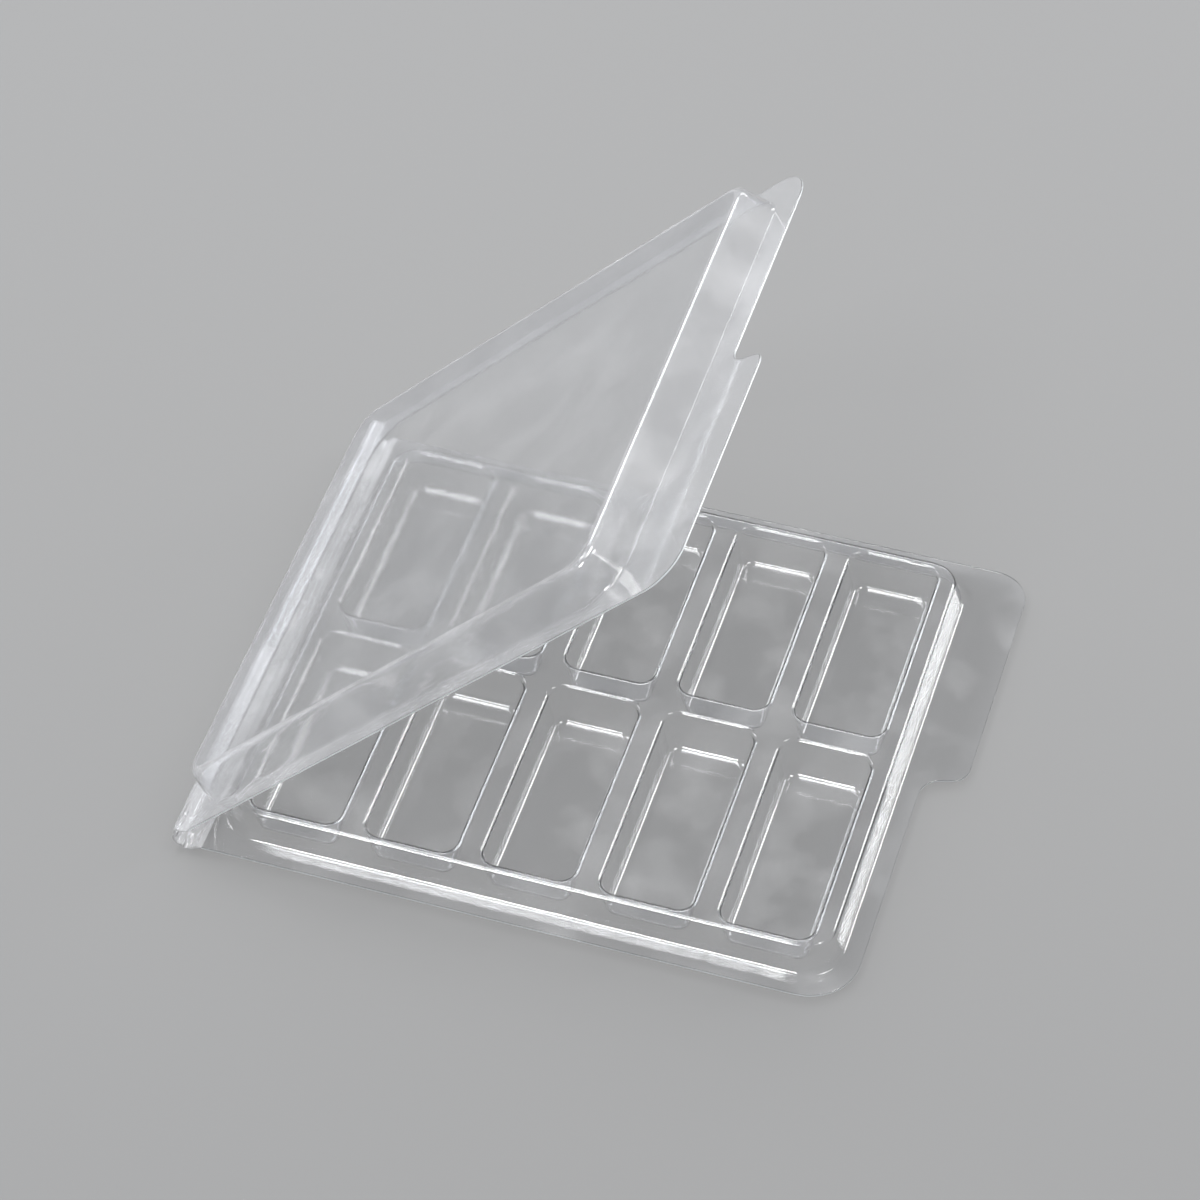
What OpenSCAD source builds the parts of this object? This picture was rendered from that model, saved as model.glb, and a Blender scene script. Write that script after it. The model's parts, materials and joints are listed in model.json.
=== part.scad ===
// Clear hinged carton: a tray with rows of long pockets and a shallow domed lid,
// formed from one plastic sheet and folded on a hollow bead along one side.
// Millimetres, +Z up. X runs from the hinge to the finger tabs, Y along the hinge.
// The tray stands on its pocket floors at Z = 0.

/* [Sheet] */
// Thickness of the formed sheet
sheet = 0.5; // [0.4:0.05:0.7]
// Gap left between the two flanges when the lid is shut
shut_gap = 0.4; // [0.3:0.05:0.8]
// Colour of the clear sheet
sheet_colour = "lightcyan"; // [lightcyan, white, silver]

/* [Tray] */
// Distance from the fold line to the far edge of the tray flange
tray_x = 148; // [144:0.5:152]
// Length of the carton along the hinge
tray_y = 125.5; // [122:0.5:130]
// Height of the raised deck above the flange
deck_h = 6.7; // [5:0.1:8]
// Width of the flange at the front and the back
rim_y = 5.1; // [4.9:0.1:5.5]
// Width of the flange on the finger tab side
rim_tab = 4.2; // [4:0.1:4.8]
// Distance from the fold line to the foot of the deck wall
rim_hinge = 7.9; // [7.8:0.1:8.2]
// Sideways lean of the deck wall over its height
wall_run = 2.3; // [2:0.1:2.6]
// Corner radius of the flange
flange_r = 11; // [6:0.5:14]
// Corner radius of the foot of the deck wall
deck_r = 8; // [6:0.5:9]

/* [Pockets] */
// Pockets along X
columns = 5; // [5:1:5]
// Spacing of the pockets along X
pitch_x = 26; // [25.5:0.1:26.2]
// Spacing of the two pocket rows along Y
pitch_y = 56.7; // [56:0.1:57]
// Width of a pocket at its lip
pocket_x = 22.4; // [20:0.1:22.6]
// Length of a pocket at its lip
pocket_y = 52.6; // [48:0.1:53]
// Depth of a pocket, from the deck to the top of its floor
pocket_depth = 9.2; // [8:0.1:11]
// Sideways lean of a pocket wall over its depth
pocket_run = 2.6; // [1:0.1:4]
// Corner radius of a pocket lip
pocket_r = 4.5; // [3.5:0.1:6]
// Distance from the fold line to the lip of the first pocket
pocket_start = 12.4; // [12.2:0.1:12.8]

/* [Finger tabs] */
// Reach of the tray tab beyond the flange
tray_tab_x = 9; // [6:0.5:12]
// Reach of the lid tab beyond the flange
lid_tab_x = 11; // [8:0.5:13]
// Share of the carton's length where the tray tab starts
tray_tab_from = 0.47; // [0.4:0.01:0.6]
// Share of the carton's length where the lid tab ends
lid_tab_to = 0.535; // [0.4:0.01:0.6]
// Radius of the tabs' large corners
tab_r = 8; // [5:0.5:9]
// Radius of the tabs' small corners
tab_small_r = 4; // [2:0.5:5]
// Slant of a tab's inner side
tab_slant = 5; // [0:0.5:8]

/* [Lid] */
// Distance from the fold line to the far edge of the lid flange
lid_x = 152; // [149:0.5:155]
// Height of the dome above the lid flange
dome_h = 7.6; // [7.4:0.1:10]
// Sideways lean of the dome wall over its height
dome_run = 2; // [1.5:0.1:2.4]
// Side clearance between the dome wall and the deck wall
dome_gap = 0.2; // [0.1:0.05:0.4]
// Angle at which the lid stands open, measured from shut
lid_open = 47; // [0:1:150]

/* [Hinge bead] */
// Width of the hollow bead on each side of the fold line
bead_x = 5.2; // [4.6:0.1:5.4]
// Outer radius of the bead's curve
bead_r = 2.75; // [2.7:0.01:3.2]
// Height of the curve's centre above the underside of the flange
bead_rise = 1; // [0.6:0.1:1.4]

/* [Hidden] */
pocket_nodes_front = [for (i = [1 : columns]) str("pocket_front_", i)];
pocket_nodes_back = [for (i = [1 : columns]) str("pocket_back_", i)];

flange_top = sheet + pocket_depth - deck_h;
deck_top = flange_top + deck_h;
fold_z = flange_top + shut_gap / 2;
bead_centre = bead_x - sqrt(pow(bead_r, 2) - pow(bead_rise, 2));
bead_lift = bead_rise - sheet - shut_gap / 2;
bead_reach = bead_r - bead_centre * cos(lid_open) - bead_lift * sin(lid_open);
fold_x = (bead_reach - tray_x - tray_tab_x) / 2;
pocket_front_y = -(pitch_y + pocket_y) / 2;
lid_under = shut_gap / 2;
lid_outer = lid_under + sheet;
panel_outer = lid_outer + dome_h;
tray_tab_y = tray_y * (tray_tab_from - 0.5);
lid_tab_y = tray_y * (lid_tab_to - 0.5);
sliver = 0.01;
$fn = 48;

// An outline is [low x, low y, high x, high y, corner radius], from the fold line.
deck_foot = [rim_hinge, rim_y - tray_y / 2, tray_x - rim_tab, tray_y / 2 - rim_y, deck_r];
deck_edge = inset(deck_foot, wall_run);
dome_foot = inset(deck_foot, -dome_gap - sheet);
dome_edge = inset(dome_foot, dome_run);

function inset(o, d) = [o[0] + d, o[1] + d, o[2] - d, o[3] - d, max(o[4] - d, 0.5)];

// Flat rounded rectangle on an outline.
module outline(o) {
    centres_x = [o[0] + o[4], o[2] - o[4]];
    centres_y = [o[1] + o[4], o[3] - o[4]];
    translate([o[0], centres_y[0]])
        square([o[2] - o[0], centres_y[1] - centres_y[0]]);
    translate([centres_x[0], o[1]])
        square([centres_x[1] - centres_x[0], o[3] - o[1]]);
    for (x = centres_x, y = centres_y)
        translate([x, y])
            circle(r = o[4]);
}

// Solid that leans from outline a at z = low to outline b at z = high.
module leaning_block(a, b, low, high) {
    hull() {
        translate([0, 0, low])
            linear_extrude(sliver)
                outline(a);
        translate([0, 0, high - sliver])
            linear_extrude(sliver)
                outline(b);
    }
}

// Leaning wall of one sheet's thickness, open at both ends.
module leaning_wall(a, b, low, high) {
    difference() {
        leaning_block(a, b, low, high);
        leaning_block(inset(a, sheet), inset(b, sheet), low - sliver, high + sliver);
    }
}

// Flange outline: square at the hinge, rounded at the far corners.
module flange_outline(far_x) {
    translate([bead_centre, -tray_y / 2])
        square([far_x - flange_r - bead_centre, tray_y]);
    translate([far_x - flange_r - 1, flange_r - tray_y / 2])
        square([flange_r + 1, tray_y - 2 * flange_r]);
    for (side = [-1, 1])
        translate([far_x - flange_r, side * (tray_y / 2 - flange_r)])
            circle(r = flange_r);
}

// Flange ring with a window cut for the wall that rises from it.
module flange(far_x, window, low) {
    translate([0, 0, low])
        linear_extrude(sheet)
            difference() {
                flange_outline(far_x);
                outline(window);
            }
}

// Tab outline beyond x = edge. It fills the flange's corner at y = end,
// and its inner side slants away from y = start.
module tab_outline(edge, reach, start, end) {
    way = sign(end - start);
    outer_x = edge + reach;
    hull() {
        translate([outer_x - tab_r, end - way * tab_r])
            circle(r = tab_r);
        translate([outer_x - tab_small_r, start + way * (tab_slant + tab_small_r)])
            circle(r = tab_small_r);
        translate([edge - flange_r, end - way * 0.5])
            square([1, 1], center = true);
        translate([edge - flange_r, start + way * 0.5])
            square([1, 1], center = true);
    }
}

// Tab plate, cut back to the flange's own edge.
module tab(edge, reach, start, end, low) {
    translate([0, 0, low])
        linear_extrude(sheet)
            difference() {
                tab_outline(edge, reach, start, end);
                flange_outline(edge);
            }
}

// Half of the hollow bead: a curved strip that dips away from the fold plane.
module bead() {
    rotate([90, 0, 0])
        linear_extrude(tray_y, center = true)
            intersection() {
                translate([bead_centre, bead_rise - sheet])
                    difference() {
                        circle(r = bead_r);
                        circle(r = bead_r - sheet);
                    }
                translate([0, -2 * bead_r])
                    square([bead_x, 2 * bead_r]);
            }
}

// Space that the bead takes out of the flange beside it.
module bead_space(low) {
    translate([bead_centre, 0, low + bead_rise])
        rotate([90, 0, 0])
            cylinder(r = bead_r, h = tray_y + 1, center = true);
}

// Moves a tray shape from the fold line into place.
module place_tray() {
    translate([fold_x, 0, 0])
        children();
}

// Moves a lid shape, drawn shut with its fold line at the origin, to its open place.
module place_lid() {
    translate([fold_x, 0, fold_z])
        rotate([0, -lid_open, 0])
            children();
}

module tray_flange() {
    color(sheet_colour)
        place_tray()
            difference() {
                flange(tray_x, inset(deck_foot, sheet), flange_top - sheet);
                bead_space(flange_top - sheet);
            }
}

module tray_tab() {
    color(sheet_colour)
        place_tray()
            tab(tray_x, tray_tab_x, tray_tab_y, tray_y / 2, flange_top - sheet);
}

module tray_deck_wall() {
    color(sheet_colour)
        place_tray()
            leaning_wall(deck_foot, deck_edge, flange_top, deck_top - sheet);
}

module tray_deck() {
    color(sheet_colour)
        place_tray()
            translate([0, 0, deck_top - sheet])
                linear_extrude(sheet)
                    difference() {
                        outline(deck_edge);
                        for (column = [0 : columns - 1], row = [0, 1])
                            outline(pocket_lip(column, row));
                    }
}

function pocket_lip(column, row) = [
    pocket_start + column * pitch_x,
    pocket_front_y + row * pitch_y,
    pocket_start + column * pitch_x + pocket_x,
    pocket_front_y + row * pitch_y + pocket_y,
    pocket_r
];

// Pocket cup below the deck: leaning walls and a flat floor.
module pocket(column, row) {
    mouth = inset(pocket_lip(column, row), -sheet);
    base = inset(mouth, pocket_run);
    color(sheet_colour)
        place_tray()
            difference() {
                leaning_block(base, mouth, 0, deck_top - sheet);
                leaning_block(inset(base, sheet), inset(mouth, sheet), sheet, deck_top - sheet + sliver);
            }
}

module tray_hinge_bead() {
    color(sheet_colour)
        place_tray()
            translate([0, 0, flange_top])
                bead();
}

module lid_flange() {
    color(sheet_colour)
        place_lid()
            difference() {
                flange(lid_x, inset(dome_foot, sheet), lid_under);
                mirror([0, 0, 1])
                    bead_space(-lid_outer);
            }
}

module lid_tab() {
    color(sheet_colour)
        place_lid()
            tab(lid_x, lid_tab_x, lid_tab_y, -tray_y / 2, lid_under);
}

module lid_wall() {
    color(sheet_colour)
        place_lid()
            leaning_wall(dome_foot, dome_edge, lid_outer, panel_outer - sheet);
}

module lid_panel() {
    color(sheet_colour)
        place_lid()
            translate([0, 0, panel_outer - sheet])
                linear_extrude(sheet)
                    outline(dome_edge);
}

module lid_hinge_bead() {
    color(sheet_colour)
        place_lid()
            translate([0, 0, lid_under])
                mirror([0, 0, 1])
                    bead();
}

tray_flange();
tray_tab();
tray_deck_wall();
tray_deck();
tray_hinge_bead();
for (column = [0 : columns - 1]) {
    pocket(column, 0);
    pocket(column, 1);
}
lid_flange();
lid_tab();
lid_wall();
lid_panel();
lid_hinge_bead();
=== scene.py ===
# %% [markdown]
# # A clear hinged carton with ten long pockets
#
# The carton is one thin sheet of clear plastic, heated and drawn over a mould. It has a tray with
# ten long pockets, a shallow domed lid and a hollow bead between them that works as the hinge. Each
# zone could be cut from a block and hollowed out, but then its thickness would be hard to keep even.
# So every zone is first a surface, as a sheet drapes over a mould, and only then gets its
# thickness. The zones meet edge to edge, so together they read as one formed sheet.

import json
import math

import bmesh
import bpy
from mathutils import Matrix, Vector


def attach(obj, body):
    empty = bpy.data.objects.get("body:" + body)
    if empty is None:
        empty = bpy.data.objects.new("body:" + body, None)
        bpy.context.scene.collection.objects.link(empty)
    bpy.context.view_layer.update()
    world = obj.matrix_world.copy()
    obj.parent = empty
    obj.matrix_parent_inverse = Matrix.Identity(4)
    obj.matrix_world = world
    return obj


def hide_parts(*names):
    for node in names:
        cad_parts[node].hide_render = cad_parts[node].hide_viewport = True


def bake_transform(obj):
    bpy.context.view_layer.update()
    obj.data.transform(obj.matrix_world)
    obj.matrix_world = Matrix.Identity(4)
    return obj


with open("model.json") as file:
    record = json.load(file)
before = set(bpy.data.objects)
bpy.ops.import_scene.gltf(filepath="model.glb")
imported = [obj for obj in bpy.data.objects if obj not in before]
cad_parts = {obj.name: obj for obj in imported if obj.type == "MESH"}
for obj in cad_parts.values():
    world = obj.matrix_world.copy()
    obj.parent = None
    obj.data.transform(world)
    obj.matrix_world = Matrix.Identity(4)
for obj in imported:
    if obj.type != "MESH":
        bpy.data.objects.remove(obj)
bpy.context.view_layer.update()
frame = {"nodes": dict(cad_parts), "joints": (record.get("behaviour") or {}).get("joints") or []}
MM = 0.001

# %% [markdown]
# ## Where the zones lie
#
# The fold line is the natural origin for a hinged carton: both leaves are drawn flat from it, and
# the lid is then turned up by its opening angle. The lid could be drawn where it stands, but its
# numbers are simple only when it is shut. So the boxes of the lid's parts are measured here after
# turning them shut.

# %% Read the fold line and measure the parts
hinge = frame["joints"][0]
fold = Vector(hinge["pos_m"])
lid_open = math.radians(-hinge["range_deg"][0])
lid_place = Matrix.Translation(fold) @ Matrix.Rotation(-lid_open, 4, "Y")
tray_place = Matrix.Translation(fold)


def leaf_box(node, place):
    """Box of a node in its leaf's own flat frame: X from the fold, Z above the fold."""
    back = place.inverted()
    points = [back @ v.co for v in frame["nodes"][node].data.vertices]
    low = Vector([min(p[i] for p in points) for i in range(3)])
    high = Vector([max(p[i] for p in points) for i in range(3)])
    return low, high


tray_rim_box = leaf_box("tray_flange", tray_place)
tray_tab_box = leaf_box("tray_tab", tray_place)
deck_wall_box = leaf_box("tray_deck_wall", tray_place)
deck_box = leaf_box("tray_deck", tray_place)
lid_rim_box = leaf_box("lid_flange", lid_place)
lid_tab_box = leaf_box("lid_tab", lid_place)
dome_wall_box = leaf_box("lid_wall", lid_place)
panel_box = leaf_box("lid_panel", lid_place)
sheet = tray_rim_box[1].z - tray_rim_box[0].z
print("sheet mm:", round(sheet / MM, 3), " lid open degrees:", round(math.degrees(lid_open), 2))

# %% [markdown]
# ## Rounded outlines
#
# Mould tools are cut with round cutters, so every outline is a rectangle with rounded corners. Bevel
# could round a plain rectangle, but rings that all have the same number of points are easier to
# join. An outline is kept as five numbers: low X, low Y, high X, high Y and corner radius. Drawing
# it in by a distance shrinks the radius by the same amount, as a leaning wall does, down to the
# smallest radius of the tool.

# %% Outlines and rings of points
CORNER_STEPS = 9
SMALLEST_RADIUS = 0.35 * MM


def draw_in(outline, distance, smallest=SMALLEST_RADIUS):
    """The outline moved inwards by a distance, or outwards if it is negative."""
    x0, y0, x1, y1, radius = outline
    drawn_radius = max(radius - distance, smallest)
    return (x0 + distance, y0 + distance, x1 - distance, y1 - distance, drawn_radius)


def ring_round(outline, height, side_steps):
    """Points round an outline, anticlockwise, all at one height."""
    x0, y0, x1, y1, radius = outline
    near_x, far_x, near_y, far_y = x0 + radius, x1 - radius, y0 + radius, y1 - radius
    centres = [(far_x, near_y), (far_x, far_y), (near_x, far_y), (near_x, near_y)]
    arcs = []
    for quarter, (cx, cy) in enumerate(centres):
        quarters = [quarter - 1 + step / CORNER_STEPS for step in range(CORNER_STEPS + 1)]
        turns = [math.radians(90 * q) for q in quarters]
        arcs.append([Vector((cx + radius * math.cos(a), cy + radius * math.sin(a), height)) for a in turns])
    points = []
    for quarter, arc in enumerate(arcs):
        steps = side_steps[quarter % 2]
        start, end = arc[-1], arcs[(quarter + 1) % 4][0]
        points += arc + [start.lerp(end, step / steps) for step in range(1, steps)]
    return points


# %% [markdown]
# ## The two steps
#
# The tray's deck and the lid's dome each stand up from their rim on a leaning wall. How far a wall
# leans and how high it rises could be typed in again, but reading both from the frame's parts keeps
# the sheet on the frame if a size changes.

# %% Outlines at the foot of each wall
DECK_CORNER, DOME_CORNER = 8 * MM, 8.7 * MM


def foot_outline(box, corner):
    """The outline at the foot of a wall, from the wall's box."""
    low, high = box
    return (low.x, low.y, high.x, high.y, corner)


deck_foot = foot_outline(deck_wall_box, DECK_CORNER)
dome_foot = foot_outline(dome_wall_box, DOME_CORNER)
wall_run = deck_box[0].x - deck_wall_box[0].x
dome_run = panel_box[0].x - dome_wall_box[0].x
rim_top, deck_top = tray_rim_box[1].z, deck_box[1].z
lid_rim_top, panel_top = lid_rim_box[1].z, panel_box[1].z
print("deck rise mm:", round((deck_top - rim_top) / MM, 2))
print("dome rise mm:", round((panel_top - lid_rim_top) / MM, 2))

# %% [markdown]
# ## Rounded folds
#
# Hot sheet never makes a sharp fold: it bridges each corner of the mould in a small arc. Those arcs
# are what catch the light on clear plastic. A Bevel modifier could round the folds afterwards, but
# on a thin sheet it would have to round both sides alike, so the arcs are drawn into the surface
# itself. A profile is a list of (distance drawn in, height) corners, and each inner corner becomes
# an arc.

# %% Profiles with rounded folds
FOLD_STEPS = 7


def corner_arc(before, here, after, radius, steps):
    """Points of the arc that rounds the corner here, between the corners before and after it."""
    to_before, to_after = (before - here).normalized(), (after - here).normalized()
    half_angle = to_before.angle(to_after) / 2
    centre = here + (to_before + to_after).normalized() * radius / math.sin(half_angle)
    start = here + to_before * radius / math.tan(half_angle) - centre
    end = here + to_after * radius / math.tan(half_angle) - centre
    # slerp gives directions of length 1
    return [centre + start.slerp(end, step / steps) * radius for step in range(steps + 1)]


def rounded_profile(corners, radii):
    """A profile whose inner corners are arcs of the given radii."""
    corners = [Vector(c) for c in corners]
    points = [corners[0]]
    for before, here, after, radius in zip(corners, corners[1:], corners[2:], radii):
        points += corner_arc(before, here, after, radius, FOLD_STEPS)
    return points + [corners[-1]]


def add_band(bm, outline, profile, side_steps, smallest=SMALLEST_RADIUS):
    """Adds rings along a profile, joined by quads, and returns the first and last ring's corners."""
    rings = []
    for distance, height in profile:
        ring = ring_round(draw_in(outline, distance, smallest), height, side_steps)
        rings.append([bm.verts.new(p) for p in ring])
    for outer, inner in zip(rings, rings[1:]):
        for i in range(len(outer)):
            j = (i + 1) % len(outer)
            bm.faces.new((outer[i], outer[j], inner[j], inner[i]))
    return rings[0], rings[-1]


# %% [markdown]
# ## From surface to sheet
#
# A surface could be copied, moved back and joined round its edge by hand, but Solidify does exactly
# that and keeps a leaning wall as thick as a floor. Where two zones meet, the cut ends touch and the
# real sheet has no surface there. Those hidden ends get a material that light passes straight
# through, so that the zones read as one sheet and each piece is still a closed solid. The outer
# edges are really trimmed: a die leaves them frosted, with a tiny glinting round.

# %% Plain meshes and thickness
SHEET_SLOT, HIDDEN_SLOT, CUT_SLOT = range(3)
BEHIND, BOTH_SIDES = -1, 0


def plain_mesh(ob):
    """Turns an object with modifiers into one with a plain mesh."""
    graph = bpy.context.evaluated_depsgraph_get()
    mesh = bpy.data.meshes.new_from_object(ob.evaluated_get(graph))
    ob.modifiers.clear()
    ob.data = mesh
    return ob


def as_object(bm, name, place):
    """Makes an object from a finished surface, with its place in the mesh."""
    mesh = bpy.data.meshes.new(name)
    bm.transform(place)
    bm.normal_update()
    bm.to_mesh(mesh)
    bm.free()
    ob = bpy.data.objects.new(name, mesh)
    bpy.context.scene.collection.objects.link(ob)
    return ob


def add_thickness(ob, materials, side):
    """Gives a surface the sheet's thickness, behind its drawn side or to both sides of it."""
    ob.data.materials.clear()
    for material in materials:
        ob.data.materials.append(material)
    solid = ob.modifiers.new("sheet", "SOLIDIFY")
    solid.thickness = sheet
    solid.offset = side
    solid.use_even_offset = True
    solid.material_offset_rim = HIDDEN_SLOT
    return plain_mesh(ob)


# %% [markdown]
# ## Trimmed edges and shading
#
# Only some of a zone's end faces are trimmed edges, so each rim brings a test that tells them from
# the hidden ends. Every edge could be bevelled, but a round between two zones would show as a line
# in the middle of the sheet. So only the edges between the sheet and a trimmed face get the round.
# Smooth shading then runs over the folds and stops at real edges.

# %% Trimmed edges and shading
EDGE_ROUND = 0.12 * MM
EDGE_SEGMENTS = 2
ROUND_PROFILE = 0.5
SHEET_SHARP = math.radians(20)


def shade(ob, sharp):
    """Shades a piece smooth, apart from edges that turn by more than an angle."""
    ob.data.shade_smooth()
    ob.data.set_sharp_from_angle(angle=sharp)
    print(ob.name, "faces:", len(ob.data.polygons))
    return ob


def thicken(ob, finish, is_trimmed=None):
    """Makes a surface a sheet. is_trimmed says which end faces are real cut edges."""
    add_thickness(ob, (finish, hidden_end, cut_edge), BEHIND)
    bm = bmesh.new()
    bm.from_mesh(ob.data)
    for face in bm.faces:
        if face.material_index == HIDDEN_SLOT and is_trimmed and is_trimmed(face.calc_center_median()):
            face.material_index = CUT_SLOT
    border = [SHEET_SLOT, CUT_SLOT]
    edges = [e for e in bm.edges if sorted(f.material_index for f in e.link_faces) == border]
    if edges:
        bmesh.ops.bevel(
            bm,
            geom=edges,
            offset=EDGE_ROUND,
            offset_type="OFFSET",
            segments=EDGE_SEGMENTS,
            profile=ROUND_PROFILE,
            affect="EDGES",
        )
    bm.to_mesh(ob.data)
    bm.free()
    return shade(ob, SHEET_SHARP)


# %% [markdown]
# ## Building finishes from nodes
#
# Clear plastic is never quite even: haze comes in clouds, scuffs change the gloss, and the mould
# leaves waves. Painted images could carry all that, but noise needs no unwrapping and keeps its
# detail when the camera comes close. The noise reads Object coordinates, so it stays fixed to the
# sheet.

# %% Helpers for node trees
def add_node(tree, kind, **inputs):
    """A new node with its inputs set by name, where _ stands for a space."""
    node = tree.nodes.new(kind)
    for name, value in inputs.items():
        node.inputs[name.replace("_", " ")].default_value = value
    return node


def noise(tree, coords, scale, detail, roughness=0.5):
    """Noise on Object coordinates."""
    node = add_node(tree, "ShaderNodeTexNoise", Scale=scale, Detail=detail, Roughness=roughness)
    tree.links.new(coords.outputs["Object"], node.inputs["Vector"])
    return node.outputs["Fac"]


def remap(tree, source, span, to_span):
    """A value moved from one span to another, held at its ends."""
    node = tree.nodes.new("ShaderNodeMapRange")
    for i, value in enumerate((*span, *to_span), 1):
        node.inputs[i].default_value = value
    tree.links.new(source, node.inputs[0])
    return node.outputs[0]


# %% [markdown]
# ## Clear formed plastic
#
# The sheet is a clear polyester. It bends light a little more than window glass, carries a trace of
# white haze, and its surface is a little wavy from the mould. Modelled waves would need a very dense
# mesh, so two Bump nodes make them, broad ones first and fine ones on top. A trace of sheen stands
# for dust. Lamps have to reach the floor through the sheet, so rays on their way to a lamp meet a
# thin grey veil instead of glass.

# %% The clear sheet's finish
CLEAR_IOR = 1.6
DUST_ROUGHNESS = 0.4
CLOUD_SCALE, SCUFF_SCALE, SWELL_SCALE, RIPPLE_SCALE = 60, 900, 45, 260
CLOUD_SPAN, SCUFF_SPAN = (0.45, 0.75), (0.55, 0.8)
SWELL_TO_RIPPLE = 20


def add_waves(tree, coords, wave):
    """Broad waves of a height with fine ones on top of them, as a normal."""
    broad = add_node(tree, "ShaderNodeBump", Strength=1.0, Distance=wave)
    fine = add_node(tree, "ShaderNodeBump", Strength=1.0, Distance=wave / SWELL_TO_RIPPLE)
    tree.links.new(noise(tree, coords, SWELL_SCALE, 1), broad.inputs["Height"])
    tree.links.new(noise(tree, coords, RIPPLE_SCALE, 2), fine.inputs["Height"])
    tree.links.new(broad.outputs[0], fine.inputs["Normal"])
    return fine.outputs[0]


def let_lamps_through(tree, plastic, veil):
    """Ends the tree: plastic for every ray, but a grey veil for rays on their way to a lamp."""
    shadow = add_node(tree, "ShaderNodeBsdfTransparent", Color=(veil, veil, veil, 1))
    path = tree.nodes.new("ShaderNodeLightPath")
    mix = tree.nodes.new("ShaderNodeMixShader")
    out = tree.nodes.new("ShaderNodeOutputMaterial")
    tree.links.new(path.outputs["Is Shadow Ray"], mix.inputs[0])
    tree.links.new(plastic.outputs[0], mix.inputs[1])
    tree.links.new(shadow.outputs[0], mix.inputs[2])
    tree.links.new(mix.outputs[0], out.inputs["Surface"])


def clear_sheet(name, tint, haze, gloss, wave, veil, dust):
    """Clear plastic. haze and gloss are the least and the most of white haze and of roughness."""
    mat = bpy.data.materials.new(name)
    mat.use_nodes = True
    tree = mat.node_tree
    tree.nodes.clear()
    coords = tree.nodes.new("ShaderNodeTexCoord")
    plastic = add_node(tree, "ShaderNodeBsdfPrincipled", Base_Color=tint, IOR=CLEAR_IOR)
    plastic.inputs["Sheen Weight"].default_value = dust
    plastic.inputs["Sheen Roughness"].default_value = DUST_ROUGHNESS
    clear_shares = (1 - haze[0], 1 - haze[1])
    clouds = remap(tree, noise(tree, coords, CLOUD_SCALE, 3), CLOUD_SPAN, clear_shares)
    scuffs = remap(tree, noise(tree, coords, SCUFF_SCALE, 4, 0.7), SCUFF_SPAN, gloss)
    tree.links.new(clouds, plastic.inputs["Transmission Weight"])
    tree.links.new(scuffs, plastic.inputs["Roughness"])
    tree.links.new(add_waves(tree, coords, wave), plastic.inputs["Normal"])
    let_lamps_through(tree, plastic, veil)
    return mat


# %% [markdown]
# ## Five finishes of one sheet
#
# It is all the same plastic, so one recipe serves every zone and only its amounts change. Five
# separate recipes would soon drift apart. The tray is clear. The lid's wall and rim are milkier, but
# its flat panel, which was hardly stretched, is nearly as clear as the tray. The folded bead is
# whitened by the crease, and the trimmed edge is nearly white because the die leaves it rough.

# %% Mix the finishes
TRAY_TINT, LID_TINT, EDGE_TINT = (0.985, 0.99, 1.0, 1), (0.98, 0.985, 1.0, 1), (0.93, 0.97, 1.0, 1)
tray_finish = clear_sheet(
    "clear_tray", TRAY_TINT, haze=(0.002, 0.07), gloss=(0.03, 0.13), wave=0.06 * MM, veil=0.96, dust=0.02
)
lid_finish = clear_sheet(
    "clear_lid", LID_TINT, haze=(0.06, 0.18), gloss=(0.09, 0.24), wave=0.08 * MM, veil=0.95, dust=0.1
)
panel_finish = clear_sheet(
    "clear_panel", LID_TINT, haze=(0.01, 0.05), gloss=(0.03, 0.09), wave=0.05 * MM, veil=0.96, dust=0.03
)
hinge_finish = clear_sheet(
    "clear_hinge", LID_TINT, haze=(0.16, 0.45), gloss=(0.08, 0.25), wave=0.10 * MM, veil=0.9, dust=0.2
)
cut_edge = clear_sheet(
    "cut_edge", EDGE_TINT, haze=(0.75, 0.95), gloss=(0.25, 0.4), wave=0.05 * MM, veil=0.9, dust=0.3
)
print("finishes:", [m.name for m in (tray_finish, lid_finish, panel_finish, hinge_finish, cut_edge)])

# %% [markdown]
# ## The hidden ends
#
# The faces where two zones meet could be deleted, but then the pieces would be open shells and glass
# needs closed ones. A fully transparent material keeps them closed and out of sight.

# %% The hidden ends' finish
hidden_end = bpy.data.materials.new("hidden_end")
hidden_end.use_nodes = True
hidden_end.node_tree.nodes.clear()
open_end = add_node(hidden_end.node_tree, "ShaderNodeBsdfTransparent")
end_out = add_node(hidden_end.node_tree, "ShaderNodeOutputMaterial")
hidden_end.node_tree.links.new(open_end.outputs[0], end_out.inputs["Surface"])
print("finish of the hidden ends:", hidden_end.name)

# %% [markdown]
# ## The deck wall
#
# The tray's deck stands above the rim on a low leaning wall, with an inside fold at its foot and an
# outside fold at its top. It could be extruded from the rim, but a band of rings along one profile
# gives the corners their cone shape by itself. The profile runs on a little past each fold, so that
# the fold's arc ends inside this piece and the flat sheet next to it stays evenly shaded.

# %% Build the deck wall
LONG_SIDES = (32, 36)
FOOT_REACH, TOP_REACH = 0.85 * MM, 0.62 * MM
TOP_OUT = 0.3 * MM
FOOT_FOLD, TOP_FOLD = 1.05 * MM, 1.15 * MM
deck_profile = rounded_profile(
    [(-FOOT_REACH, rim_top), (0, rim_top), (wall_run - TOP_OUT, deck_top), (wall_run + TOP_REACH, deck_top)],
    [FOOT_FOLD, TOP_FOLD],
)
bm = bmesh.new()
deck_wall_foot, deck_wall_top = add_band(bm, deck_foot, deck_profile, LONG_SIDES)
deck_opening = [v.co.copy() for v in deck_wall_top]
rim_window = [v.co.copy() for v in deck_wall_foot]
tray_step = thicken(as_object(bm, "tray_deck_step", tray_place), tray_finish)

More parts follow.
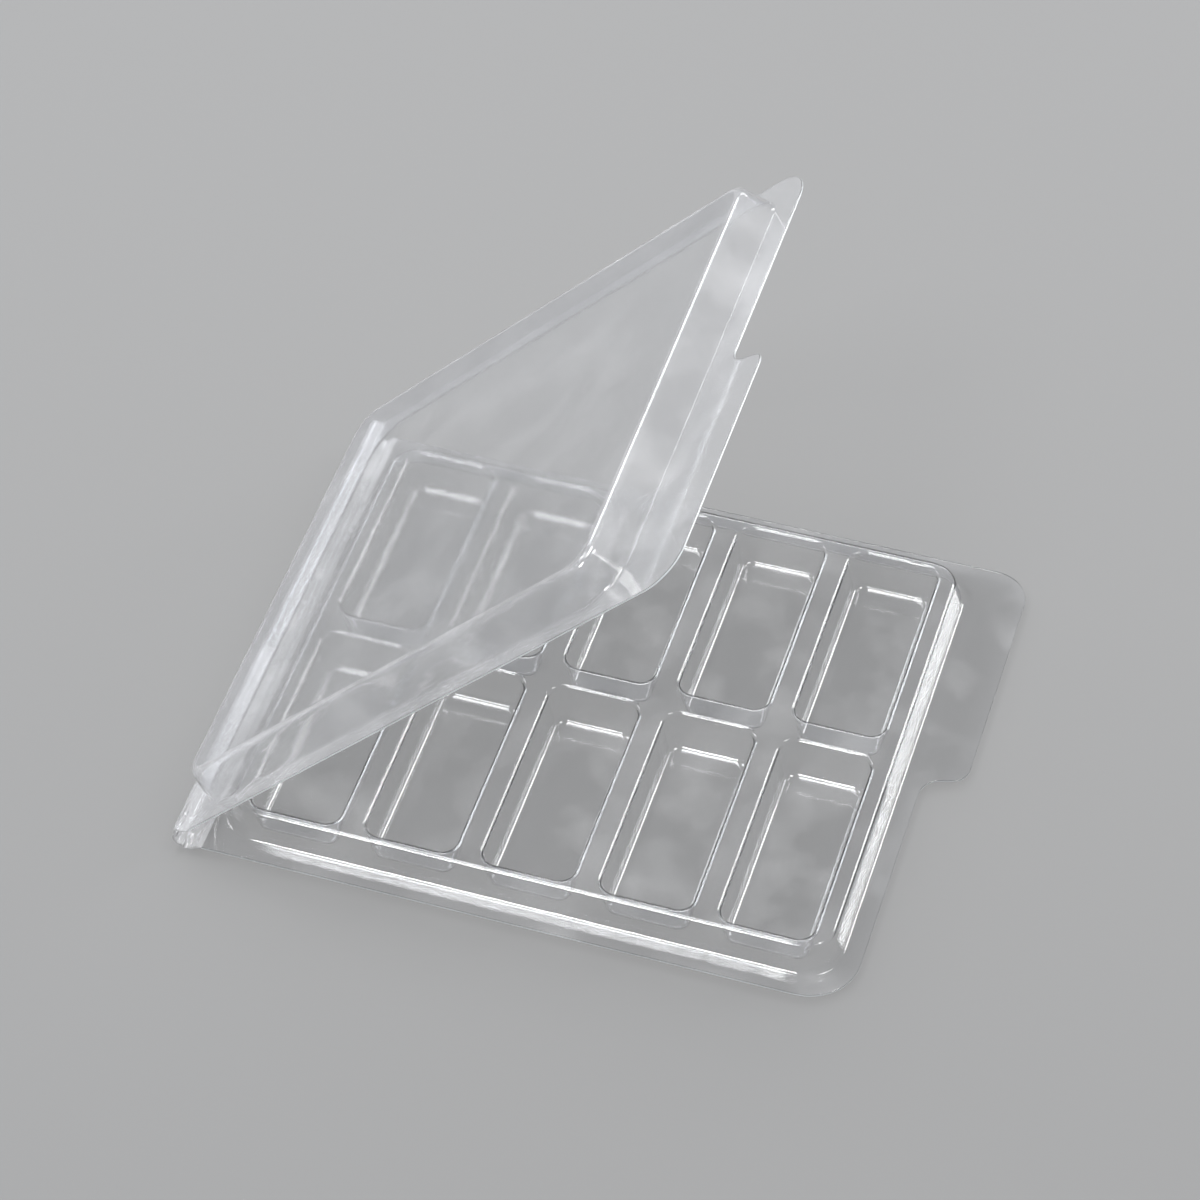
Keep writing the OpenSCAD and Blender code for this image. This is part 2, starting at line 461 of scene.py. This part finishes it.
# %% [markdown]
# ## One pocket
#
# Ten equal pockets hang from the deck, five along and two across. A pocket is a lip, a leaning wall,
# a floor fold and a floor. It could be pushed down out of the deck, but as a band of its own it
# needs to be drawn only once. Its corner radius shrinks towards the floor, but never below the
# floor's own radius, because the tool that cut the mould is round.

# %% Draw one pocket
first_box, second_box = leaf_box("pocket_front_1", tray_place), leaf_box("pocket_front_2", tray_place)
back_box = leaf_box("pocket_back_1", tray_place)
pocket_pitch = second_box[0].x - first_box[0].x
row_pitch = back_box[0].y - first_box[0].y
LIP_CORNER, FLOOR_CORNER = 4.5 * MM, 2.2 * MM
LIP_REACH, LIP_DRAW = 0.04 * MM, 1.0 * MM
POCKET_RUN, FLOOR_REACH = 2.6 * MM, 2.0 * MM
LIP_FOLD, FLOOR_FOLD = 1.14 * MM, 1.4 * MM
POCKET_SIDES = (8, 16)
first_low, first_high = first_box
lip = (first_low.x + sheet, first_low.y + sheet, first_high.x - sheet, first_high.y - sheet, LIP_CORNER)
floor_height = first_low.z + sheet
pocket_profile = rounded_profile(
    [
        (-LIP_REACH, deck_top),
        (LIP_DRAW, deck_top),
        (POCKET_RUN, floor_height),
        (POCKET_RUN + FLOOR_REACH, floor_height),
    ],
    [LIP_FOLD, FLOOR_FOLD],
)
bm = bmesh.new()
pocket_lip, floor_ring = add_band(bm, lip, pocket_profile, POCKET_SIDES, FLOOR_CORNER)
bm.faces.new(floor_ring)
lip_points = [v.co.copy() for v in pocket_lip]
pocket_mesh = bpy.data.meshes.new("one_pocket")
bm.to_mesh(pocket_mesh)
bm.free()
one_pocket = bpy.data.objects.new("one_pocket", pocket_mesh)
bpy.context.scene.collection.objects.link(one_pocket)
print("pocket lip mm:", round((lip[2] - lip[0]) / MM, 2), "x", round((lip[3] - lip[1]) / MM, 2))

# %% [markdown]
# ## A tree that repeats the pocket
#
# The pockets' places follow a rule: first pocket, spacing along, spacing across. Two Array modifiers
# would do, but a Geometry Nodes tree states the rule in one place, with named inputs. It makes a
# point for each pocket, works out the column and the row from the point's number, and puts the
# pocket on every point.

# %% Build the grid tree
def math_node(tree, operation, *sources):
    """The result of a Math node on linked values."""
    node = tree.nodes.new("ShaderNodeMath")
    node.operation = operation
    for source, socket in zip(sources, node.inputs):
        tree.links.new(source, socket)
    return node.outputs[0]


def grid_tree(finish):
    """A node tree that repeats a surface on a grid of columns and rows."""
    tree = bpy.data.node_groups.new("pocket_grid", "GeometryNodeTree")
    kinds = {
        "Pocket": "Object",
        "Columns": "Int",
        "Rows": "Int",
        "Spacing along": "Float",
        "Spacing across": "Float",
    }
    sockets = {}
    for name, kind in kinds.items():
        sockets[name] = tree.interface.new_socket(name, in_out="INPUT", socket_type="NodeSocket" + kind)
    tree.interface.new_socket("Geometry", in_out="OUTPUT", socket_type="NodeSocketGeometry")
    nodes, links = tree.nodes, tree.links
    given = nodes.new("NodeGroupInput").outputs
    index = nodes.new("GeometryNodeInputIndex").outputs[0]
    column = math_node(tree, "FLOORED_MODULO", index, given["Columns"])
    row = math_node(tree, "FLOOR", math_node(tree, "DIVIDE", index, given["Columns"]))
    place = nodes.new("ShaderNodeCombineXYZ")
    links.new(math_node(tree, "MULTIPLY", column, given["Spacing along"]), place.inputs["X"])
    links.new(math_node(tree, "MULTIPLY", row, given["Spacing across"]), place.inputs["Y"])
    points = nodes.new("GeometryNodePoints")
    links.new(math_node(tree, "MULTIPLY", given["Columns"], given["Rows"]), points.inputs["Count"])
    links.new(place.outputs[0], points.inputs["Position"])
    info = nodes.new("GeometryNodeObjectInfo")
    links.new(given["Pocket"], info.inputs["Object"])
    repeat = nodes.new("GeometryNodeInstanceOnPoints")
    links.new(points.outputs[0], repeat.inputs["Points"])
    links.new(info.outputs["Geometry"], repeat.inputs["Instance"])
    real = nodes.new("GeometryNodeRealizeInstances")
    links.new(repeat.outputs[0], real.inputs[0])
    paint = nodes.new("GeometryNodeSetMaterial")
    paint.inputs["Material"].default_value = finish
    links.new(real.outputs[0], paint.inputs["Geometry"])
    links.new(paint.outputs[0], nodes.new("NodeGroupOutput").inputs[0])
    return tree, {name: socket.identifier for name, socket in sockets.items()}


# %% [markdown]
# ## Ten pockets
#
# A modifier runs the tree, with its inputs set before it is first worked out. The result becomes a
# plain mesh, because only that can get its thickness like every other zone. The one pocket it was
# made from is then taken away.

# %% Set the pockets out
columns = len([n for n in frame["nodes"] if n.startswith("pocket_front_")])
rows = 2
tree, inputs = grid_tree(tray_finish)
pockets = bpy.data.objects.new("tray_pockets", bpy.data.meshes.new("tray_pockets"))
bpy.context.scene.collection.objects.link(pockets)
layout = pockets.modifiers.new("layout", "NODES")
layout.node_group = tree
layout[inputs["Pocket"]] = one_pocket
layout[inputs["Columns"]] = columns
layout[inputs["Rows"]] = rows
layout[inputs["Spacing along"]] = pocket_pitch
layout[inputs["Spacing across"]] = row_pitch
plain_mesh(pockets)
pockets.data.transform(tray_place)
thicken(pockets, tray_finish)
bpy.data.objects.remove(one_pocket)

# %% [markdown]
# ## The flat zones
#
# The deck, the two rims and the lid's panel are flat. A Boolean could cut their openings, but it
# leaves points where it likes. So each is one outline filled in, with the pockets' lips or a wall's
# foot as holes. The holes use the very points of the pieces that meet them there, which leaves no
# gap.

# %% Fill a flat zone
def add_loop(bm, points):
    """A closed loop of edges through points."""
    verts = [bm.verts.new(p) for p in points]
    return [bm.edges.new((a, b)) for a, b in zip(verts, verts[1:] + verts[:1])]


def flat_zone(name, place, outline_points, holes=()):
    """A flat surface inside an outline, with holes."""
    bm = bmesh.new()
    edges = add_loop(bm, outline_points)
    for hole in holes:
        edges += add_loop(bm, hole)
    bmesh.ops.triangle_fill(bm, use_beauty=True, edges=edges, normal=(0, 0, 1))
    for face in bm.faces:
        if face.normal.z < 0:
            face.normal_flip()
    return as_object(bm, name, place)


deck_holes = [
    [p + Vector((pocket_pitch * column, row_pitch * row, 0)) for p in lip_points]
    for column in range(columns)
    for row in range(rows)
]
tray_deck = thicken(flat_zone("tray_deck_plate", tray_place, deck_opening, deck_holes), tray_finish)

# %% [markdown]
# ## The outlines of the rims
#
# A die trims the rim after forming. Each rim carries a finger tab: the tray's tab is on one half of
# the free side and the lid's tab on the other, so that two fingers can part them. A tab could be a
# second piece, but on the real sheet it is cut in one line with the rim, so it is part of the rim's
# outline here. The rim ends beside the hinge bead, where its sheet curls into the bead.

# %% Draw the trimmed outlines
STRIP_END = 6.2 * MM
FAR_RADIUS, TAB_RADIUS, TAB_SMALL_RADIUS, TAB_ROOT_RADIUS = 11 * MM, 8 * MM, 4 * MM, 5 * MM
TRAY_SLANT, LID_SLANT = 0.2925, 0.2629


def rounded_polygon(corners, height):
    """Points round a polygon given as (x, y, radius), anticlockwise."""
    places = [Vector(corner[:2]) for corner in corners]
    points = []
    for i, (here, corner) in enumerate(zip(places, corners)):
        before, after, radius = places[i - 1], places[(i + 1) % len(places)], corner[2]
        points += corner_arc(before, here, after, radius, CORNER_STEPS) if radius > 0 else [here]
    return [Vector((p.x, p.y, height)) for p in points]


half_length = tray_rim_box[1].y
tray_far, tray_tab_far, tray_tab_root = tray_rim_box[1].x, tray_tab_box[1].x, tray_tab_box[0].y
lid_far, lid_tab_far, lid_tab_root = lid_rim_box[1].x, lid_tab_box[1].x, lid_tab_box[1].y
tray_corners = [
    (STRIP_END, -half_length, 0),
    (tray_far, -half_length, FAR_RADIUS),
    (tray_far, tray_tab_root, TAB_ROOT_RADIUS),
    (tray_tab_far, tray_tab_root + TRAY_SLANT * (tray_tab_far - tray_far), TAB_SMALL_RADIUS),
    (tray_tab_far, half_length, TAB_RADIUS),
    (STRIP_END, half_length, 0),
]
lid_corners = [
    (STRIP_END, -half_length, 0),
    (lid_tab_far, -half_length, TAB_RADIUS),
    (lid_tab_far, lid_tab_root - LID_SLANT * (lid_tab_far - lid_far), TAB_SMALL_RADIUS),
    (lid_far, lid_tab_root, TAB_ROOT_RADIUS),
    (lid_far, half_length, FAR_RADIUS),
    (STRIP_END, half_length, 0),
]
print("tray tab root mm:", round(tray_tab_root / MM, 2), " lid tab root mm:", round(lid_tab_root / MM, 2))

# %% [markdown]
# ## The tray's rim
#
# The rim's end faces are of two kinds: those on the trimmed outline and those at the wall's foot or
# beside the bead, which are hidden. They could be picked by their numbers, but numbers change with
# every edit. So a face counts as trimmed when it lies on the outline, and the outline's last side,
# beside the bead, is left out of that test.

# %% Trim the tray's rim
ON_OUTLINE = 0.05 * MM


def nearest_on(p, a, b):
    """The point of the line from a to b that lies nearest to p, seen from above."""
    a, b, p = Vector((a.x, a.y)), Vector((b.x, b.y)), Vector((p.x, p.y))
    share = max(0, min(1, (p - a).dot(b - a) / (b - a).length_squared))
    return a.lerp(b, share)


def trimmed_by(corners, place):
    """A test that says whether an end face lies on the trimmed outline."""
    outline = rounded_polygon(corners, 0)
    back = place.inverted()

    def test(centre):
        p = back @ centre
        seen = Vector((p.x, p.y))
        return min((seen - nearest_on(p, a, b)).length for a, b in zip(outline, outline[1:])) < ON_OUTLINE

    return test


tray_rim = flat_zone("tray_rim", tray_place, rounded_polygon(tray_corners, rim_top), [rim_window])
thicken(tray_rim, tray_finish, trimmed_by(tray_corners, tray_place))

# %% [markdown]
# ## The lid's dome and rim
#
# The lid repeats the tray's step, a little larger and higher, so that it nests over the deck. The
# deck's pieces could be scaled up, but that would scale the thickness and the folds too. So the dome
# is drawn with the same helpers and its own sizes, on its outer side, and the thickness goes
# inwards.

# %% Build the dome and the lid's rim
DOME_REACH = 2.1 * MM
DOME_FOOT_FOLD, DOME_TOP_FOLD = 0.8 * MM, 2.0 * MM
dome_profile = rounded_profile(
    [(-FOOT_REACH, lid_rim_top), (0, lid_rim_top), (dome_run, panel_top), (dome_run + DOME_REACH, panel_top)],
    [DOME_FOOT_FOLD, DOME_TOP_FOLD],
)
bm = bmesh.new()
dome_foot_ring, dome_top_ring = add_band(bm, dome_foot, dome_profile, LONG_SIDES)
lid_window = [v.co.copy() for v in dome_foot_ring]
panel_outline = [v.co.copy() for v in dome_top_ring]
lid_wall = thicken(as_object(bm, "lid_dome_wall", lid_place), lid_finish)
lid_panel = thicken(flat_zone("lid_dome_panel", lid_place, panel_outline), panel_finish)
lid_rim = flat_zone("lid_rim", lid_place, rounded_polygon(lid_corners, lid_rim_top), [lid_window])
thicken(lid_rim, lid_finish, trimmed_by(lid_corners, lid_place))

# %% [markdown]
# ## The hinge bead, drawn across
#
# Between the leaves the sheet dips into a hollow bead, half on each leaf, and the fold runs between
# the halves. Two half tubes would look right at rest but would part when the lid moves, so the bead
# is one strip. Its middle line is drawn first, seen from the end: flat rim, a small fillet, then the
# bead's arc up to the fold.

# %% Draw the bead across
BEAD_RADIUS, BEAD_REACH, BEAD_FILLET = 2.5 * MM, 5.2 * MM, 0.7 * MM
CENTRE_DEPTH = -0.3 * MM  # the bead's centre lies above the fold
CENTRE_OVER_RIM = 1 * MM  # and above the rim's underside
STRAIGHT_END = 0.3 * MM
FILLET_STEPS, BEAD_STEPS = 6, 24
rim_middle = -(rim_top - sheet / 2)
bead_centre = BEAD_REACH - math.sqrt((BEAD_RADIUS + sheet / 2) ** 2 - CENTRE_OVER_RIM ** 2)


def on_circle(x, depth, radius, angle):
    """A point of a circle round (x, depth)."""
    return Vector((x + radius * math.cos(angle), depth + radius * math.sin(angle)))


def half_bead():
    """Middle line of the bead's tray half, from the rim to the fold, as (x, depth)."""
    rise = rim_middle + BEAD_FILLET - CENTRE_DEPTH
    fillet_x = bead_centre + math.sqrt((BEAD_RADIUS + BEAD_FILLET) ** 2 - rise ** 2)
    fillet_depth = rim_middle + BEAD_FILLET
    meet = math.atan2(rise, fillet_x - bead_centre)
    last = math.pi - math.asin(-CENTRE_DEPTH / BEAD_RADIUS)
    points = [Vector((STRIP_END, rim_middle)), Vector((STRIP_END - STRAIGHT_END, rim_middle))]
    for step in range(FILLET_STEPS + 1):
        a = -math.pi / 2 - (math.pi / 2 - meet) * step / FILLET_STEPS
        points.append(on_circle(fillet_x, fillet_depth, BEAD_FILLET, a))
    for step in range(1, BEAD_STEPS + 1):
        a = meet + (last - meet) * step / BEAD_STEPS
        points.append(on_circle(bead_centre, CENTRE_DEPTH, BEAD_RADIUS, a))
    return points


half = half_bead()
print("bead depth mm:", round(max(p.y for p in half) / MM, 2))
print("half bead ends at mm:", [round(v / MM, 2) for v in half[-1]])

# %% [markdown]
# ## The crushed end
#
# The bead's front end has been pinched, and the plastic there is pressed in and creased. Sculpting
# would give any shape but can't be repeated, so a formula moves each point towards the bead's
# centre, by waves that run across the strip and fade out along it. The rim's side and the fold
# itself stay where they are, because other pieces and the joint need them there.

# %% Press in the bead's front end
CRUSH_LENGTH, CRUSH_DEPTH = 11 * MM, 1.15 * MM
CREASE_MEAN, BROAD_CREASE, FINE_CREASE = 0.55, 0.3, 0.15
BROAD_ACROSS, BROAD_ALONG = 0.62 * MM, 1.9 * MM
FINE_ACROSS, FINE_ALONG, FINE_START = 0.3 * MM, 1.1 * MM, 2
RIM_HOLD, RIM_FADE, FOLD_FADE = 1.0 * MM, 1.5 * MM, 1.6 * MM
MOST_PRESSED = 0.8


def ease(share):
    """A share from 0 to 1 that leaves 0 and reaches 1 gently."""
    share = max(0.0, min(1.0, share))
    return share * share * (3 - 2 * share)


def crush(x, z, y, run):
    """A point of the bead pressed in near its front end, in creases that run across the strip."""
    broad = BROAD_CREASE * math.sin(run / BROAD_ACROSS + y / BROAD_ALONG)
    fine = FINE_CREASE * math.sin(run / FINE_ACROSS - y / FINE_ALONG + FINE_START)
    near_rim = max(0.0, min(1.0, (STRIP_END - RIM_HOLD - x) / RIM_FADE))
    near_fold = min(1.0, abs(run) / FOLD_FADE)
    depth = CRUSH_DEPTH * ease(1 - (y + half_length) / CRUSH_LENGTH) * (CREASE_MEAN + broad + fine)
    inward = Vector((bead_centre - x, -z))
    press = min(depth * near_rim * near_fold, inward.length * MOST_PRESSED)
    moved = Vector((x, z)) + inward.normalized() * press
    return moved.x, moved.y


# %% [markdown]
# ## The strip along the hinge
#
# The line across is repeated along the hinge and turned into a surface of quads. The lid's half is
# the tray's half mirrored in the fold, and turned up by the opening angle. Turning it all at once
# would make a sharp edge, so the turn eases in over a narrow band, as the sheet does at a fold.

# %% Stretch the bead along the hinge
STRIP_STEPS = 180
FOLD_WIDTH = 0.55 * MM
across = [(p.x, -p.y) for p in half] + [(p.x, p.y) for p in reversed(half[:-1])]
lengths = [0.0]
for (x0, z0), (x1, z1) in zip(across, across[1:]):
    lengths.append(lengths[-1] + math.hypot(x1 - x0, z1 - z0))
middle = lengths[len(half) - 1]
bm = bmesh.new()
lines = []
for step in range(STRIP_STEPS + 1):
    y = half_length * (2 * step / STRIP_STEPS - 1)
    line = []
    for (x, z), length in zip(across, lengths):
        run = length - middle
        x, z = crush(x, z, y, run)
        turn = Matrix.Rotation(-lid_open * ease(run / FOLD_WIDTH / 2 + 0.5), 3, "Y")
        line.append(bm.verts.new(turn @ Vector((x, y, z))))
    lines.append(line)
for near, far in zip(lines, lines[1:]):
    for i in range(len(near) - 1):
        bm.faces.new((near[i], near[i + 1], far[i + 1], far[i]))
bmesh.ops.recalc_face_normals(bm, faces=bm.faces)
hinge_strip = as_object(bm, "hinge_strip", tray_place)

# %% [markdown]
# ## The strip's thickness
#
# The bead curls both ways, so its thickness goes to both sides of the middle line and not behind
# it. The end faces at the front and the back are real and keep the strip's finish, while those
# beside the rims are hidden. The creases tip the end faces a little, so their points are pulled back
# to the carton's length.

# %% Thicken the strip
STRIP_SHARP = math.radians(40)
AT_END = 0.01 * MM
add_thickness(hinge_strip, (hinge_finish, hidden_end), BOTH_SIDES)
for face in hinge_strip.data.polygons:
    if face.material_index == HIDDEN_SLOT and abs(abs(face.center.y) - half_length) < AT_END:
        face.material_index = SHEET_SLOT
for vertex in hinge_strip.data.vertices:
    vertex.co.y = max(-half_length, min(half_length, vertex.co.y))
shade(hinge_strip, STRIP_SHARP)

# %% [markdown]
# ## Ride and replace
#
# Each piece rides on the body whose sheet it is, and stands for its parts of the frame. The strip could be
# cut at the fold, but a real crease doesn't open, so it stays one piece. It rides on neither body and stays
# where it was drawn, with the lid's half already turned up by the opening angle.

# %% Fasten the pieces to the frame
pocket_nodes = [n for n in frame["nodes"] if n.startswith("pocket_")]
parts = [
    (tray_rim, "tray", "clear_tray_sheet", ["tray_flange", "tray_tab"]),
    (tray_step, "tray", "clear_tray_sheet", ["tray_deck_wall"]),
    (tray_deck, "tray", "clear_tray_sheet", ["tray_deck"]),
    (pockets, "tray", "clear_tray_sheet", pocket_nodes),
    (lid_rim, "lid", "clear_lid_sheet", ["lid_flange", "lid_tab"]),
    (lid_wall, "lid", "clear_lid_sheet", ["lid_wall"]),
    (lid_panel, "lid", "clear_lid_sheet", ["lid_panel"]),
]
for piece, body, slot, nodes in parts:
    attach(piece, body)
    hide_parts(*nodes)
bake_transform(hinge_strip)
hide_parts("tray_hinge_bead", "lid_hinge_bead")
print("pieces:", len(parts) + 1, " pocket nodes:", len(pocket_nodes))

# %% [markdown]
# ## The floor and the room
#
# Clear plastic shows only what it bends and mirrors. A bright white room would wash it out, so the
# floor is a plain grey that the lamps make pale, and the room is dim. Floor and room are about
# equally bright far away, so that no hard horizon shows through the sheet.

# %% Floor and room
FLOOR_HALF = 3.0
FLOOR_DROP = 0.1 * MM
FLOOR_GREY = 0.285
FLOOR_ROUGHNESS, FLOOR_SHINE = 0.9, 0.1
ROOM_COLOUR, ROOM_STRENGTH = (0.84, 0.87, 0.93, 1), 0.29
floor_sides = [(-1, -1), (1, -1), (1, 1), (-1, 1)]
floor_mesh = bpy.data.meshes.new("floor")
floor_mesh.from_pydata([(FLOOR_HALF * x, FLOOR_HALF * y, 0) for x, y in floor_sides], [], [(0, 1, 2, 3)])
floor = bpy.data.objects.new("floor", floor_mesh)
floor.location.z = -FLOOR_DROP
bpy.context.scene.collection.objects.link(floor)
floor_finish = bpy.data.materials.new("floor_finish")
floor_finish.use_nodes = True
floor_paint = floor_finish.node_tree.nodes["Principled BSDF"]
floor_paint.inputs["Base Color"].default_value = (FLOOR_GREY, FLOOR_GREY, FLOOR_GREY, 1)
floor_paint.inputs["Roughness"].default_value = FLOOR_ROUGHNESS
floor_paint.inputs["Specular IOR Level"].default_value = FLOOR_SHINE
floor_mesh.materials.append(floor_finish)

world = bpy.data.worlds.new("studio")
bpy.context.scene.world = world
world.use_nodes = True
room = world.node_tree.nodes["Background"]
room.inputs["Color"].default_value = ROOM_COLOUR
room.inputs["Strength"].default_value = ROOM_STRENGTH
print("floor half width m:", FLOOR_HALF, " room strength:", ROOM_STRENGTH)

# %% [markdown]
# ## Lamps
#
# Small soft lamps draw the bright lines: each fold mirrors a lamp along its whole length, and each
# rounded corner carries the line round. One large lamp would be simpler, but it would turn the flat
# zones white. So the lamps stand where the folds mirror them towards the camera and the flat zones
# don't. A wide soft sun lights the floor evenly from the front. Caustics are off because they add
# noise and no shape.

# %% Set up the lamps
WHITE, COOL = (1, 1, 1), (0.93, 0.97, 1.0)
LAMPS = [
    # name, direction, distance, long side along, size, power, colour
    ("lamp_top", (-0.21, 0.08, 0.97), 0.9, (0, 1, 0), (0.42, 0.24), 3.0, WHITE),
    ("lamp_corner_right", (0.367, 0.05, 0.93), 0.9, (0, 1, 0), (0.2, 0.2), 1.0, WHITE),
    ("lamp_corner_left", (-0.708, 0.133, 0.694), 0.9, (0, 1, 0), (0.2, 0.2), 1.0, WHITE),
    ("lamp_back_low", (-0.12, 0.92, 0.38), 1.0, (1, 0, 0), (0.7, 0.1), 0.9, WHITE),
    ("lamp_right_back", (0.66, 0.63, 0.40), 1.0, (0.40, 0, -0.66), (0.3, 0.35), 3.4, WHITE),
    ("lamp_left_back", (-0.65, 0.63, 0.36), 1.0, (-0.2, 0, -0.35), (0.26, 0.3), 1.6, COOL),
]
SUN_ENERGY, SUN_SPREAD, SUN_FROM = 2.1, math.radians(15), Vector((-0.21, -0.58, 0.785))


def add_lamp(name, direction, distance, along, size, power, colour):
    """A soft rectangular lamp that looks at the carton, with its long side turned along a direction."""
    data = bpy.data.lights.new(name, "AREA")
    data.shape = "RECTANGLE"
    data.size, data.size_y = size
    data.energy = power
    data.color = colour
    ob = bpy.data.objects.new(name, data)
    bpy.context.scene.collection.objects.link(ob)
    away = Vector(direction).normalized()
    side = Vector(along)
    side = (side - away * side.dot(away)).normalized()
    turn = Matrix((side, away.cross(side), away)).transposed()
    ob.matrix_world = Matrix.Translation(away * distance) @ turn.to_4x4()


for lamp in LAMPS:
    add_lamp(*lamp)
sun_data = bpy.data.lights.new("soft_sun", "SUN")
sun_data.energy, sun_data.angle = SUN_ENERGY, SUN_SPREAD
sun = bpy.data.objects.new("soft_sun", sun_data)
bpy.context.scene.collection.objects.link(sun)
sun.rotation_euler = SUN_FROM.to_track_quat("Z", "Y").to_euler()
bpy.context.scene.view_settings.view_transform = "Standard"
bpy.context.scene.cycles.caustics_refractive = False
bpy.context.scene.cycles.caustics_reflective = False
print("lamps:", len(LAMPS), "and a sun")

# %% [markdown]
# ## Camera
#
# A long lens from about 0.9 m keeps the carton's edges nearly parallel and lets the pockets be seen
# from above. The camera could track an empty object, but three axes worked out from its azimuth,
# elevation and roll say plainly where it looks. It is moved sideways and up along its own axes to
# frame the open lid.

# %% Camera
AZIMUTH, ELEVATION, ROLL = math.radians(18.553), math.radians(48.377), math.radians(-1.278)
CAMERA_DISTANCE = 869.4 * MM
AIM = Vector((-0.734, -7.036, 3.0)) * MM
FRAME_RIGHT, FRAME_UP = -0.061 * MM, 28.085 * MM
LENS, SENSOR = 120, 36
level = Vector((math.cos(AZIMUTH), math.sin(AZIMUTH), 0))
level_back = Vector((math.sin(AZIMUTH), -math.cos(AZIMUTH), 0))
back = level_back * math.cos(ELEVATION) + Vector((0, 0, math.sin(ELEVATION)))
rise = back.cross(level)
right = level * math.cos(ROLL) + rise * math.sin(ROLL)
up = rise * math.cos(ROLL) - level * math.sin(ROLL)
camera_data = bpy.data.cameras.new("camera")
camera_data.lens, camera_data.sensor_width = LENS, SENSOR
camera_data.clip_start = 10 * MM
camera = bpy.data.objects.new("camera", camera_data)
bpy.context.scene.collection.objects.link(camera)
place = AIM + right * FRAME_RIGHT + up * FRAME_UP + back * CAMERA_DISTANCE
camera.matrix_world = Matrix.Translation(place) @ Matrix((right, up, back)).transposed().to_4x4()
bpy.context.scene.camera = camera
print("camera at mm:", [round(v / MM, 1) for v in place])
